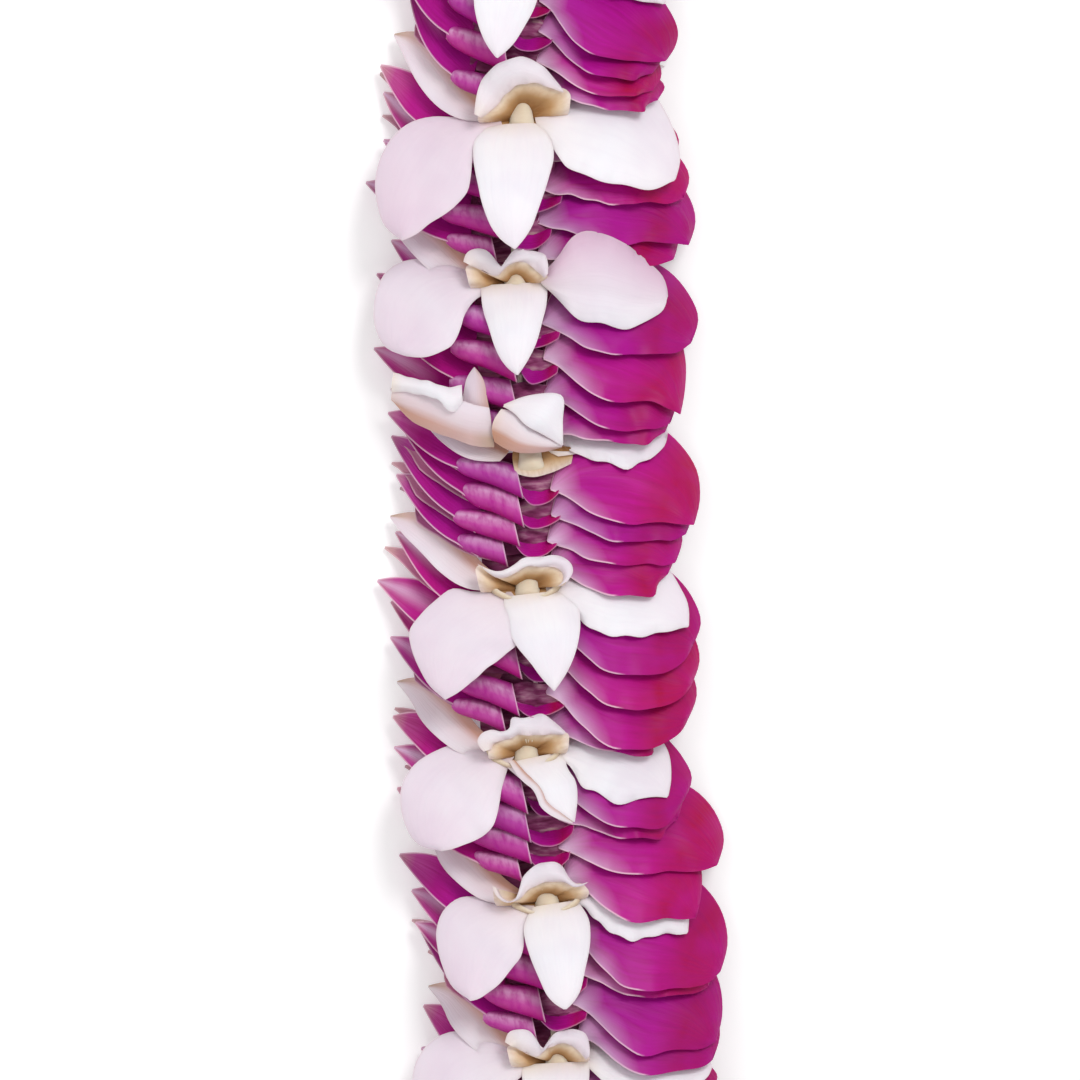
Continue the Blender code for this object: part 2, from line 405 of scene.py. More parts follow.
BROAD = {
    "ridged": False,
    "left": (
        ((-4, 2), (-11, -2.2), (-18, -4), (-23, -4), (-27.5, -0.5), (-29.5, 5.5), (-29.3, 10),
         (-27.3, 14), (-23.5, 16)),
        ((-5, 4), (-8, 5.2), (-10.5, 8), (-11.8, 11.6), (-13.8, 14.8), (-17, 16.3), (-20, 16.6),
         (-23.2, 16.2)),
    ),
    "dorsal": (
        ((-6.9, 2.4), (-6.8, 7), (-5.7, 11.4), (-4.3, 16.4), (-2.5, 19.6), (-0.5, 21.4)),
        ((6.8, 2.4), (6.4, 7), (5.3, 10.8), (3.9, 15), (1.8, 18.8), (-0.2, 21.5)),
    ),
    "right": (
        ((5, 1.6), (8.6, -2.4), (13.6, -6.6), (18.5, -7.5), (23, -5.4), (27, -1.6), (31, 2.5),
         (31.8, 6)),
        ((6, 3), (9.3, 6.5), (12, 9.4), (15.6, 11.8), (20.2, 12.3), (25, 11.9), (29.6, 10.4),
         (31.6, 6.6)),
    ),
    "lip": (
        ((-10.2, -2.6), (-9.2, -4.6), (-5.8, -4.8), (-3.6, -2.8), (-2.8, -1.4), (0, -4), (3, -4.4),
         (6.3, -3.6), (7, 0.8)),
        ((-8.5, -1.6), (-6.4, -0.6), (-4.2, 0.6), (-3, 0.4), (-1.8, -1), (0.4, -1.9), (3, -1.4),
         (4.6, -0.2), (6.2, 1.6)),
    ),
}
PRESSED = {
    "left": (
        ((-3, 3), (-10, 2.6), (-15.5, 2.1), (-20, 5.4), (-23.8, 9.2), (-23.8, 13), (-22, 18),
         (-20, 21.4), (-17.6, 23.6)),
        ((-1, 6), (-1.6, 10), (-2.5, 13.8), (-5.4, 16), (-9, 18.2), (-12.4, 21.2), (-15, 22.8),
         (-17.3, 23.9)),
    ),
    "dorsal": (
        ((-4.5, 4), (-4.4, 9), (-2.5, 13.8), (0.2, 17.4), (2.2, 20.4), (4.4, 23)),
        ((6, 3.4), (9.8, 5), (10.6, 9), (10, 13.6), (8, 18.6), (4.7, 23.2)),
    ),
    "right": (
        ((4, 2.6), (10, -1), (17, -3.4), (24, -3), (29, 0), (31.6, 4), (32.8, 8.4), (32.6, 11.6)),
        ((4.4, 4), (10.5, 8.6), (13.3, 11.4), (16.6, 13), (21.2, 13.8), (26, 12.9), (29.4, 12.2),
         (32.4, 12)),
    ),
    "lip": (
        ((-9.6, -3), (-6.2, -1.6), (-2.6, -2.2), (0.4, -3.8), (3.3, -3.6), (6.4, -4), (8.9, -3.2),
         (9.9, -1), (8.6, 1.4)),
        ((-8.8, -2.4), (-5.6, 0), (-2.4, -0.9), (0.6, -1.8), (3.4, -1.6), (5.6, -1.6), (7.4, -0.8),
         (7.8, 0.8), (6.6, 2.4)),
    ),
}
TWISTED = {
    "teeth": 9,
    "strip": (
        ((-3.4, 3.4), (-1.2, 7.2), (1.6, 9.9), (2.7, 13.0), (5.6, 15.4), (9.1, 16.7)),
        ((-2.2, 3.2), (0.4, 6.4), (3.0, 9.0), (4.2, 12.2), (6.8, 14.4), (9.3, 16.5)),
    ),
    "left": (
        ((-2.3, 2.6), (-9.2, 0.3), (-14.6, -0.5), (-21, 1.8), (-25, 5), (-26.5, 10), (-26, 15),
         (-23.8, 19.2), (-19, 21)),
        ((-3.6, 4.6), (-5.2, 9), (-6.1, 13.2), (-8, 17.2), (-11, 19.2), (-14, 20.4), (-18.4, 21.2)),
    ),
    "dorsal": (
        ((-4.6, 4), (-1, 7.4), (1.8, 9.8), (3, 12.8), (6, 15), (9.2, 16.4)),
        ((8.4, 2), (8.6, 5.2), (10.2, 8.2), (10.4, 12), (10, 14.6), (9.6, 16.6)),
    ),
    "right": (
        ((4, 2), (10, -2), (17, -4.4), (24, -3.4), (28.6, 0.6), (30.3, 5.2), (30.2, 9.6),
         (29.5, 12.4)),
        ((6, 3.6), (9, 5), (11.6, 9), (15, 11.8), (19, 13), (24, 12.8), (27, 12.6), (29.2, 12.8)),
    ),
    "lip": (
        ((-8.4, 1), (-9.6, -1.8), (-7.6, -3), (-3.2, -3.4), (-2.4, -5.6), (0.6, -5.4), (3.4, -5.9),
         (6.4, -4.2), (8.6, -2)),
        ((-6.8, 0.6), (-6.6, -0.2), (-4.6, -0.8), (-2.2, -1.4), (-0.6, -2.2), (1.4, -2), (3.6, -1.8),
         (5.8, -1.6), (8, -1.6)),
    ),
}
NARROW = {
    "teeth": 8,
    "left": (
        ((-2.4, 3.2), (-9.9, 2.4), (-17.3, 1), (-21.4, 3.4), (-23.1, 8), (-22.4, 13.4), (-20.4, 18.6),
         (-17, 21.4)),
        ((-2.8, 5), (-4.8, 9), (-5.4, 12.8), (-8.4, 16.4), (-11.8, 19.6), (-14.6, 21.4),
         (-16.6, 21.8)),
    ),
    "dorsal": (
        ((-2.6, 3.4), (-4.8, 7.4), (-4.2, 11.8), (-2.2, 17.6), (0, 22.2), (2.6, 24.2)),
        ((6.4, 2.6), (8.6, 6), (8.8, 10.8), (7.4, 16.6), (5.6, 21.8), (3.2, 24.2)),
    ),
    "right": (
        ((4, 2.2), (10, -1), (17, -3), (24, -2), (28.4, 1.8), (29.6, 5.4), (29.6, 8), (29.3, 10.4)),
        ((5.4, 3), (7.8, 3.8), (10.6, 7.4), (13.3, 9.8), (17, 10.7), (22.5, 10.8), (26, 10.9),
         (29, 10.8)),
    ),
    "lip": (
        ((-10.8, -1.6), (-9.6, 1), (-7.4, 1.8), (-5.8, 0.6), (-4.4, -3.2), (-1.6, -5), (1.2, -5.8),
         (4.4, -4), (5.8, -1.4), (9, -1.4)),
        ((-9.6, -0.8), (-8.6, 1.2), (-7.2, 1.9), (-5.2, 1), (-3.6, -0.4), (-1.4, -1.4), (1.2, -1.6),
         (4, -1.4), (5.4, -0.6), (7.6, -0.6)),
    ),
}
SHORT = {
    "left": (
        ((-4, 2), (-12, -2), (-20, -5), (-27, -4.6), (-30, -0.6), (-29.6, 4), (-27, 7.2)),
        ((-5, 4), (-9, 5.2), (-14, 7), (-18, 8), (-22, 8.4), (-26.6, 7.6)),
    ),
    "dorsal": (
        ((-6, 3), (-8, 7), (-8.3, 12), (-6.4, 18), (-4.2, 22), (-2, 24.6)),
        ((3, 3), (4.6, 7), (4.8, 12), (3.4, 17), (1, 22), (-1.7, 24.7)),
    ),
    "right": (
        ((5, 1.6), (9, -3), (16, -7), (24, -6.6), (29.6, -2.6), (31, 2)),
        ((6, 3), (9, 4), (14, 4.8), (20, 4.4), (26, 3.4), (30.6, 2.4)),
    ),
    "lip": NARROW["lip"],
}
# A broad blossom whose right petal lies on top of the stack in front of it, with strong painted pink
# shade by the upper margin
RAISED = dict(BROAD, right_lifts=((2.4, 8.4, 9.6, 8.0, 3.6, 1.0), (2.0, 1.6, 1.0)), upper_margin_shade=0.8)
# What the white blossoms away from the loop's left side are drawn from
LOOSE_HABITS = (OPEN, PRESSED, TWISTED, NARROW, BROAD)


def add_white(organs, habit):
    """One white blossom: three upper organs, two lateral sepals, lip, throat and column."""
    stretch = organs.chance.uniform(0.98, 1.02)

    def sized(line):
        return [(across * stretch, back * stretch) for across, back in line]

    upper_margin_shade = habit.get("upper_margin_shade", 0.12)
    lifts = habit.get("right_lifts", ((0.0, 0.4, 0.0), (0.8, 0.8)))
    left = petal(*map(sized, habit["left"]), crown=1.6, lifts=((0.2, -0.4), (0.6, 0.6)))
    dorsal = petal(*map(sized, habit["dorsal"]), crown=1.2, lifts=(1.2, 1.2))
    right = petal(*map(sized, habit["right"]), crown=1.5, lifts=lifts)
    # The left petal's pale tint is painted shade: lilac where it slopes away from the light.
    organs.add(left, size=(34, 22), ruffle=0.25, waves=3.0, fray=0.15, crease=0.5,
               pale=lambda a, b: habit.get("left_petal_shade", 0.2) + 0.1 * a - 0.05 * b)
    # The right petal's pale tint is painted pink shade, strongest by its upper margin next to the
    # magenta petals.
    organs.add(right, size=(36, 22), ruffle=0.5, waves=4.0, fray=0.55, crease=0.4,
               pale=lambda a, b: upper_margin_shade * ((1 - b) / 2) ** 1.3)
    organs.add(dorsal, size=(28, 16), ruffle=0.12, waves=2.0, bump=0.15, pale=0.0)
    add_lip(organs, habit["lip"], habit.get("teeth", 0), habit.get("ridged", True))
    if "strip" in habit:
        strip = petal(*map(sized, habit["strip"]), crown=0.4, lifts=(2.6, 2.0))
        # The strip's buff is painted shade on the twisted sepal's underside.
        organs.add(strip, size=(24, 6), wall=THIN_WALL, bump=0.1, buff=1.3, pale=0.1)
    add_column(organs)
    add_laterals(organs)


def add_folded_white(organs):
    """A white blossom pressed shut: left petal and dorsal sepal folded forward over the lip."""
    face = [
        lifted(((-27.5, -13), (-22.4, -13.6), (-18, -12.6), (-14.5, -10.8), (-11, -9.4), (-7.6, -8.4)),
               (11, 12, 11.5, 10)),
        lifted(((-27.7, -11.6), (-23.4, -9.6), (-18.8, -8), (-14.5, -6), (-11, -5), (-7.3, -4.6)),
               (10, 10, 9.5, 8.4)),
        lifted(((-27.3, -10.8), (-23.8, -6.8), (-19.1, -4), (-14.5, -2.1), (-10.7, -0.7), (-7, -0.3)),
               (8, 6.5, 5.5, 5)),
    ]
    spur = petal(((-13.2, -9), (-12.7, -12), (-11.8, -15), (-10.3, -16.9)),
                 ((-7.3, -6), (-7.9, -10), (-8.6, -14.4), (-10.2, -16.9)), crown=0.4,
                 lifts=((8.6, 13.0), (7.6, 13.0)))
    band = [
        lifted(((-27, -16.8), (-22.8, -15.4), (-19.1, -14.1), (-16, -13.2), (-13, -13.4)),
               (13.2, 13.6, 12.6)),
        lifted(((-27.3, -15), (-22.6, -14), (-18.8, -12.6), (-15.8, -11), (-13, -11.4)),
               (13.6, 14, 12.6)),
        lifted(((-27.6, -12.8), (-22.4, -12.2), (-18.6, -10.8), (-15.2, -7.9), (-13, -8.8)),
               (11.6, 13, 10)),
    ]
    apron = [
        lifted(((-5.2, -8), (-3.3, -7.6), (-0.5, -4.9), (2.5, -2.8), (6.9, 0)), (10.4, 9, 5.4)),
        lifted(((-6.9, -5.6), (-4.6, -4.6), (-1.6, -2.4), (2, -0.8), (6.9, 0.2)), (10, 8.4, 5)),
        lifted(((-6.9, -1.4), (-4.6, 0.2), (-1.2, 1.2), (2.6, 1.2), (6.8, 0.4)), (7, 5, 4)),
    ]
    flap = [
        lifted(((-4.8, -8.5), (-2.6, -7), (-0.5, -4.6), (3, -2.4), (6.9, 0.1)), (11.2, 10, 5.8)),
        lifted(((-4.6, -8.7), (-1, -8.4), (2.6, -6.6), (5.4, -3.6), (7, 0)), (11.4, 11, 6)),
        lifted(((-4.6, -8.9), (1.3, -10.6), (7.4, -10.1), (7.3, -5), (7.1, 0)), (11.4, 11.2, 6.2)),
    ]
    right = petal(((4, -5), (10, -9), (17, -9.4), (23, -7.4), (27.4, -4.4), (29, -1.6)),
                  ((5.5, -2), (8.5, 0.8), (11.6, 2.6), (17.2, 4.9), (20.9, 5.2), (23.4, 3.6),
                   (27.4, 2.2), (28.8, -1.2)), crown=1.2, lifts=((-1, -1), (0.6, 0.8)))
    # The buff on the face, the spur and the apron is painted shade: their shaded, translucent backs
    # show beige.
    organs.add(face, size=(30, 16), buff=1.7, bump=0.2, fray=0.1, pale=0.2)
    organs.add(spur, size=(16, 10), buff=0.9, bump=0.1, pale=0.3)
    organs.add(band, size=(26, 10), ruffle=0.3, bump=0.2, fray=0.2, pale=0.0)
    organs.add(apron, size=(20, 12), buff=2.2, bump=0.15, pale=0.1)
    organs.add(flap, size=(22, 14), ruffle=0.15, bump=0.15, pale=0.0)
    organs.add(right, size=(32, 16), ruffle=0.7, waves=5.0, fray=0.5,
               pale=lambda a, b: 0.15 * (1 - b))
    cup = [
        lifted(((-3, -0.4), (0, -0.6), (3, -0.4), (8.6, 0.4)), (1.8, 1.2, 1.6)),
        lifted(((-3.4, 2.2), (0.6, 2.6), (4, 2.6), (9, 2.2)), (-0.4, -0.8, -0.4)),
        lifted(((-3, 5.2), (0.6, 6.2), (4, 5.6), (8.6, 3.8)), (0.2, 0.4, 0.2)),
    ]
    # Reversed so that the throat material's painted shade lies at the cup's top, a painted shadow
    # under the apron.
    organs.add(cup[::-1], size=(24, 12), wall=THIN_WALL, finish=THROAT, bump=0.2)
    add_column(organs)
    add_laterals(organs, lift=1.6)


def add_lip(organs, lines, teeth, ridged):
    """The lip: a white frilled lobe over the nest, and the tan throat with its teeth inside it."""
    outer, inner = lines
    rim = smooth_line(lifted(outer, 0.0), 13)
    rim[:, 2] = np.maximum(7.0, 3.6 - 0.74 * rim[:, 1])
    fold = smooth_line(lifted(inner, 0.0), 13)
    fold[:, 2] = np.maximum(5.8, 4.8 - 0.8 * fold[:, 1])
    middle = (rim + fold) / 2
    middle[:, 2] += 0.5
    # The lip's buff is painted shade, beige towards its inner fold.
    organs.add([rim, middle, fold], size=(40, 8), wall=LIGHT_WALL, ruffle=0.45, waves=5.0,
               bump=0.25, fray=0.25, buff=0.35, pale=lambda a, b: 0.18 * a)
    add_throat(organs, inner, ridged)
    for place in np.linspace(-2.8, 3.2, teeth):
        sway, tip = organs.chance.uniform(-0.4, 0.4), organs.chance.uniform(-0.9, 0.1)
        tooth = petal(((place - 0.4, -2.8), (place - 0.3, -1.6), (place + sway, tip)),
                      ((place + 0.4, -2.8), (place + 0.3, -1.6), (place + sway, tip + 0.05)),
                      crown=0.3, lifts=((4.6, 3.6), (4.6, 3.6)))
        organs.add(tooth, size=(6, 4), wall=THIN_WALL, finish=THROAT, bump=0.1, buff=1.0)


def add_throat(organs, inner, ridged):
    """The funnel inside the lip, from its fold to the column's foot, and a thin ridge to each side."""
    first, last = inner[0], inner[-1]
    mouth = ((first[0] * 0.96, 2.8), *inner, (last[0] * 0.96, 2.4))
    lines = []
    for share, sink, low in ((1.1, 0.95, 1.2), (0.78, 0.72, 0.9), (0.5, 0.28, 0.3), (0.2, -0.1, -0.6)):
        ring = [(across * share, back * share + (1 - share) * 2.6) for across, back in mouth]
        line = smooth_line(lifted(ring, 0.0), 15)
        line[1:-1, 2] = sink * np.maximum(5.8, 4.8 - 0.8 * line[1:-1, 1] / share)
        line[[0, -1], 2] = low
        lines.append(line)
    organs.add(lines, size=(44, 16), wall=THIN_WALL, finish=THROAT, ruffle=0.1, bump=0.15)
    foot = [
        lifted(((-8.6, 3.0), (-3, 5.0), (1, 5.6), (4.5, 5.0), (8.4, 2.8)), 0.4),
        lifted(((-5.5, 2.6), (-2.4, 4), (0.6, 4.4), (3.4, 3.8), (6, 2.6)), 0.2),
        lifted(((-2, 2.4), (-1, 3.0), (0.3, 3.2), (1.6, 3.0), (2.4, 2.4)), -0.8),
    ]
    organs.add(foot, size=(20, 8), wall=THIN_WALL, finish=THROAT, bump=0.1)
    for hand in (-1, 1) if ridged else ():
        reach = organs.chance.uniform(0.8, 0.97)
        ridge = petal(
            ((hand * 1.5, 4.6), (hand * 3.6, 3.7), (hand * 6.2, 2.0), (hand * 9 * reach, -0.4)),
            ((hand * 1.8, 5.2), (hand * 4.3, 4.6), (hand * 6.9, 3.0), (hand * 9.3 * reach, 0.0)),
            crown=0.5, lifts=((1.0, 1.8, 2.2, 2.2), (0.4, 0.9, 1.3, 2.0)),
        )
        organs.add(ridge, size=(16, 6), wall=0.6, finish=THROAT, bump=0.2, ruffle=0.2, waves=2.0,
                   buff=0.55)


def add_column(organs):
    """The column with its anther cap: a short tapering arch in the throat."""
    profile = ((-3.6, 0.8, -0.8), (-2.2, 1.6, 0.0), (0.2, 2.1, 0.2), (3.0, 2.5, 0.0), (4.8, 3.2, -1.2))
    lines = []
    for turn in np.linspace(0.0, math.pi, 7):
        side, top = math.cos(turn), math.sin(turn)
        lines.append([(0.3 + side * half, back, rise + 1.1 * top) for back, half, rise in profile])
    # Its lines run round the arch, so the throat material's painted shade darkens one side; buff 0.75
    # keeps it mostly cream.
    organs.add(lines, size=(16, 12), wall=THIN_WALL, finish=THROAT, bump=0.2, buff=0.75)


def add_laterals(organs, lift=1.0):
    """The two lateral sepals, which reach forward under the blossoms in front."""
    sway = organs.chance.uniform(-1.5, 1.5)
    left = petal(
        ((-6, 2.6), (-12.8, 1.6), (-17.6, -1.8), (-21.3, -6), (-24 + sway, -9.8),
         (-26.7 + sway, -13.5)),
        ((-4, 0.6), (-8.6, -3), (-12.5, -8), (-16.4, -12), (-21 + sway, -14.4),
         (-26.6 + sway, -13.9)),
        crown=-1.0, lifts=(lift, lift),
    )
    right = petal(
        ((6, 2.2), (13, 1), (19, -3), (24, -7), (28 + sway, -10), (30 + sway, -12)),
        ((3, 0.4), (8, -4), (13, -9), (18, -12.6), (24 + sway, -13.4), (29.6 + sway, -12.4)),
        crown=-1.0, lifts=(0.2, 0.2),
    )
    # The buff on the laterals is painted shade, deepest towards the margin that lies under the
    # blossoms in front.
    organs.add(left, size=(22, 14), buff=1.6, bump=0.2, pale=0.12)
    organs.add(right, size=(18, 10), buff=0.6, bump=0.2, pale=0.0)


def add_magenta(organs, build, tucked):
    """One magenta blossom: broad right petal, rolled dorsal sepal, left petal turned on edge.

    build is how far the right petal reaches, how far it hangs back, how far the rolled sepal slides
    and how far the right petal's corner hangs. A tucked blossom has its middle pressed down by the
    white lip behind it.
    """
    chance = organs.chance
    reach, drop, slide, corner = build
    right = petal(
        ((4.6, 3.4), (6, -1), (10, -7), (17, -10.5), (25, -10), (31 + reach, -5), (34.6 + reach, 1.4),
         (35 + reach, 6 + drop * 0.6), (33.4 + reach, 10 + drop + corner)),
        ((4.7, 3.8), (6.8, 4.8), (9, 6.4 + drop * 0.3), (12, 9 + drop * 0.6), (16, 11.6 + drop),
         (21, 12.6 + drop), (26.4, 12.4 + drop), (30.6 + reach, 12 + drop + corner * 0.4),
         (33.2 + reach, 10.4 + drop + corner)),
        crown=1.3, lifts=((0.2, 0.2, 0.6), (0.6, 0.2, 1.4, 1.8, 1.6, 1.2, 0.6)),
    )
    strength = chance.uniform(0.6, 1.1)

    def claw(a, b):
        """Pale over the claw, and further along the hanging margin."""
        hanging = (1 + b) / 2
        base = np.clip(1 - a / 0.26, 0, 1) ** 1.1 * (0.4 + 0.6 * hanging)
        return strength * np.maximum(base, np.clip(1 - a / 0.55, 0, 1) * hanging**5)

    organs.add(right, size=(34, 18), wall=LIGHT_WALL, ruffle=chance.uniform(0.15, 0.6),
               waves=chance.uniform(1.4, 3.4), bump=0.35, fray=chance.uniform(0.1, 0.4),
               crease=chance.uniform(-0.9, 1.2), pale=claw)
    add_roll(organs, slide, tucked)
    add_leaf(organs, slide)
    tuck = chance.uniform(0.0, 4.5)
    lateral = petal(
        ((-6, 2), (-12, 0), (-18, -4), (-22.4, -7.6), (-26 + tuck, -11.4), (-29 + tuck, -14)),
        ((-4, -1), (-9, -4.4), (-14.5, -8), (-19.6, -11.4), (-24 + tuck, -13.6),
         (-28.8 + tuck, -14.5)),
        crown=-1.0, lifts=(-0.8, -0.8),
    )
    organs.add(lateral, size=(16, 8), wall=LIGHT_WALL, finish=NARROW_PETAL, buff=0.4, bump=0.2,
               pale=NO_CLAW)
    inner = petal(
        ((5, 2), (12, 1), (18, -3), (22, -8), (25.5 - tuck, -12), (28 - tuck, -14)),
        ((3, -1), (8, -6), (13, -11), (17, -15), (23 - tuck, -16.4), (27.6 - tuck, -14.6)),
        crown=-1.0, lifts=(-1.2, -1.2),
    )
    organs.add(inner, size=(16, 8), wall=LIGHT_WALL, finish=NARROW_PETAL, buff=0.4, bump=0.2,
               pale=NO_CLAW)
    add_heart(organs, slide, tucked)


def add_leaf(organs, slide):
    """The left petal, seen edge-on as a narrow pointed blade."""
    chance = organs.chance
    turn = math.radians(chance.uniform(-7, 9))
    long, wide = chance.uniform(0.88, 1.04), chance.uniform(0.95, 1.25)
    base = np.array((-10.5, -2.4))
    spin = np.array(((math.cos(turn), math.sin(turn)), (-math.sin(turn), math.cos(turn))))

    def placed(line):
        axis = np.linspace(0, 1, len(line))[:, None] * (-18.5, -13.2)
        shape = np.asarray(line, float) - base
        return (axis * long + (shape - axis) * wide) @ spin + base + (0, slide * 0.6)

    blade = petal(
        placed(((-9.4, 2.2), (-13.2, -0.2), (-17.4, -2.6), (-21.6, -6.0), (-25.6, -10.6),
                (-29, -15.4))),
        placed(((-8.6, -4.6), (-12.4, -8.4), (-16.8, -11.8), (-21.2, -14.2), (-25.4, -15.4),
                (-28.8, -15.8))),
        crown=-1.0, lifts=((1.4, 1.6, 1.8, 1.6, 1.6, 2.4), (-0.2, 0.0, 0.2, 0.6, 1.4, 2.4)),
    )
    streak = max(0.0, chance.uniform(-0.5, 0.6))

    def streaked(a, b):
        """A pale streak over the blade's outer half, on some blades."""
        return NO_CLAW + streak * np.clip((a - 0.35) / 0.4, 0, 1) * np.exp(-((b - 0.1) / 0.4) ** 2)

    organs.add(blade, size=(26, 12), wall=LIGHT_WALL, ruffle=0.2, waves=2.0, bump=0.2,
               finish=NARROW_PETAL, pale=streaked)


def add_roll(organs, slide, tucked):
    """The dorsal sepal, rolled back on itself like a barrel that widens to the right."""
    chance = organs.chance
    tilt = chance.uniform(-0.7, 0.7)
    long = chance.uniform(-0.9, 0.9)
    fat = chance.uniform(0.95, 1.12)
    end = 0.8 if tucked else 1.0
    start, length = -14.0, 12.0
    stations = (
        (-14.2 + long, 0.3, 0.8, 0.3), (-13.2 + long, 0.5, 1.6, 0.75), (-10.8, 1.2, 2.3, 1.0),
        (-7.4, 2.1, 2.8, 1.1), (-4.2, 3.1 + tilt * 0.6, 3.2, 1.1), (-1.6, 4.1 + tilt, 3.5, 1.05),
    )
    lines = []
    for turn in np.radians((-30, 0, 35, 70, 105, 140, 175, 205)):
        line = []
        for across, centre, half, share in stations:
            slant = 0.6 * (across - start) / length * -math.cos(turn)
            line.append(((across + slant - start) * end + start,
                         centre * end + slide - half * end * fat * math.cos(turn),
                         share * (0.2 + 2.7 * math.sin(turn))))
        lines.append(line)
    organs.add(lines, size=(22, 18), wall=THIN_WALL, bump=0.12, finish=ROLLED_SEPAL, pale=NO_CLAW)


def add_heart(organs, slide, tucked):
    """The scoop beside the rolled sepal, the dusky folded lip between two scoops, and its bed, a dark
    sheet of painted shade under them.
    """
    chance = organs.chance
    tilt = chance.uniform(-0.6, 0.6)
    sink = 4.0 if tucked else 0.0
    # The bed is a dark sheet of painted shade under the heart.
    bed = [lifted(((-9, back), (-4, back + 0.6), (2, back), (9, back)), -3.0 - sink * 0.4)
           for back in (-5.0, 0.5, 5.5)]
    organs.add(bed, size=(12, 6), wall=THIN_WALL, finish=HEART, bump=0.4)
    scoop = [
        lifted(((-2.4, 5.0), (0.8, 5.8), (4.6, 5.8), (8, 4.6)), (0.4, -1.2, -1.2, 0.0)),
        lifted(((-2.0, 6.2), (0.6, 7.6), (4.4, 7.8 + tilt), (7.8, 6.0)), (0.6, -0.5, -0.5, 0.3)),
        lifted(((-1.5, 7.4), (0.4, 9.4), (4.2, 9.4 + tilt), (7.4, 7.4)), (1.4, 1.1, 0.9, 0.8)),
    ]
    sway, wide, deep = chance.uniform(-0.9, 1.1), chance.uniform(0.8, 1.1), chance.uniform(0.7, 1.0)
    moved = (3 + sway, 6.2 + slide * 0.8 - abs(sway) * 0.4, 0)
    scoop = [(line - (3, 6.5, 0)) * (wide, deep, 1) + moved for line in scoop]
    if not tucked:
        organs.add(scoop, size=(18, 10), wall=THIN_WALL, bump=0.3, ruffle=0.2, pale=0.035)
    left = -6.0 if tucked else -2.6
    fold = [
        lifted(((left, 1.6), (0.6, 1.2 + tilt), (3.4, 1.6), (8, 1.8)), (0.4, 0.6, 0.4, -0.4)),
        lifted(((left, 3.8), (1, 3.2), (3.6, 3.6 + tilt), (7.6, 4)), (0.2, 1.0, 0.2, -0.4)),
        lifted(((left, 6.4), (1.4, 6.6), (3.6, 6.6), (7.4, 6.2)), -1.8),
    ]
    fold = [line + (0, slide * 0.8, -sink) for line in fold]
    organs.add(fold, size=(22, 12), wall=THIN_WALL, finish=HEART, bump=0.35, ruffle=0.5, waves=2.0)


# The blossom that is pressed shut has outlines of its own, in add_folded_white
FOLDED = None
# White blossoms on the loop's left side: millimetres across and along from the even spacing, habit
WHITE_PLACES = {
    0: (2.7, -1.0, OPEN),
    1: (-0.2, -2.5, RAISED),
    2: (1.0, -6.0, FOLDED),
    3: (-1.0, 0.0, PRESSED),
    4: (-2.9, -1.9, TWISTED),
    5: (-0.2, 0.4, NARROW),
    6: (0.2, -0.4, BROAD),
    27: (0.0, 0.0, SHORT),
}
# Magenta blossoms on the loop's left side, four behind each white one: reach, drop, slide, corner
MAGENTA_BUILDS = {
    26: ((-4, -5, 0, 0), (-4, -5, -1, 0), (-4.5, -5, 0, 0), (-4, -5.5, 0, 0)),
    27: ((-1, 2.9, -1, 1), (-4.5, 1.5, -1, 0), (-4.5, -0.3, -1, 0.5), (-4.5, -4, 0, 0)),
    0: ((-1, -5, 0, 0), (0.5, -5, 0, 1), (2.4, -4, 0, 3), (-0.5, -6, -1, 1)),
    1: ((2, -1.5, 0, 0), (-1, 1, 0, 5), (-3, -0.5, 0, 1), (-4, -5, -1, 0)),
    2: ((0.6, -1, -2.8, 3), (-1, -2.5, -2.6, 1), (-2.4, -3, -2.6, 2), (-4, -2, -3, -2)),
    3: ((0.8, 2, -1, -3), (0.6, 2, -1, -2), (0.4, 3.2, 0, -3), (-4.4, -2.5, -2, -2)),
    4: ((-2, 0, 0, -3), (-4, -4, 0, -1), (4, -2.6, -1, 1.5), (-1.6, 0.8, -1.6, 2.4)),
    5: ((2.4, 2.5, 0, -0.5), (-1, -2.6, 0, 1), (0.6, 2, 0, 1), (-1, 0, -1, 0)),
}


def white_place(module):
    """A module's white blossom: millimetres across, its throat's length along the string, habit."""
    module = module % MODULES
    if module in WHITE_PLACES:
        across, along, habit = WHITE_PLACES[module]
    else:
        chance = np.random.default_rng(PLACE_SEED + module)
        across, along = chance.uniform(-2, 2), chance.uniform(-2, 2)
        habit = LOOSE_HABITS[chance.choice(len(LOOSE_HABITS))]
    return across, white_throat(module) + along * MM, habit


def magenta_build(module, index, chance):
    """(reach, drop, slide, corner) of one magenta blossom."""
    loose = [chance.uniform(*span) for span in ((-3.5, 2.5), (-4, 2), (-1.2, 0.6), (-2.5, 3))]
    return MAGENTA_BUILDS[module][index] if module in MAGENTA_BUILDS else loose


def add_node(tree, kind, inputs, stops=(), **settings):
    """Adds a node with its settings; an input takes a socket to link, a number or a colour."""
    node = tree.nodes.new("ShaderNode" + kind)
    for name, setting in settings.items():
        setattr(node, name, setting)
    for place, (position, value) in enumerate(stops):
        band = node.color_ramp.elements
        element = band[place] if place < len(band) else band.new(position)
        element.position = position
        element.color = colour_of(value)
    for key, value in inputs.items():
        if isinstance(value, bpy.types.NodeSocket):
            tree.links.new(value, node.inputs[key])
        else:
            node.inputs[key].default_value = srgb(value) if isinstance(value, str) else value
    return node


def colour_of(value):
    """A hex code, a grey level or a linear colour as a linear colour."""
    if isinstance(value, str):
        return srgb(value)
    return (value, value, value, 1.0) if isinstance(value, float) else tuple(value)


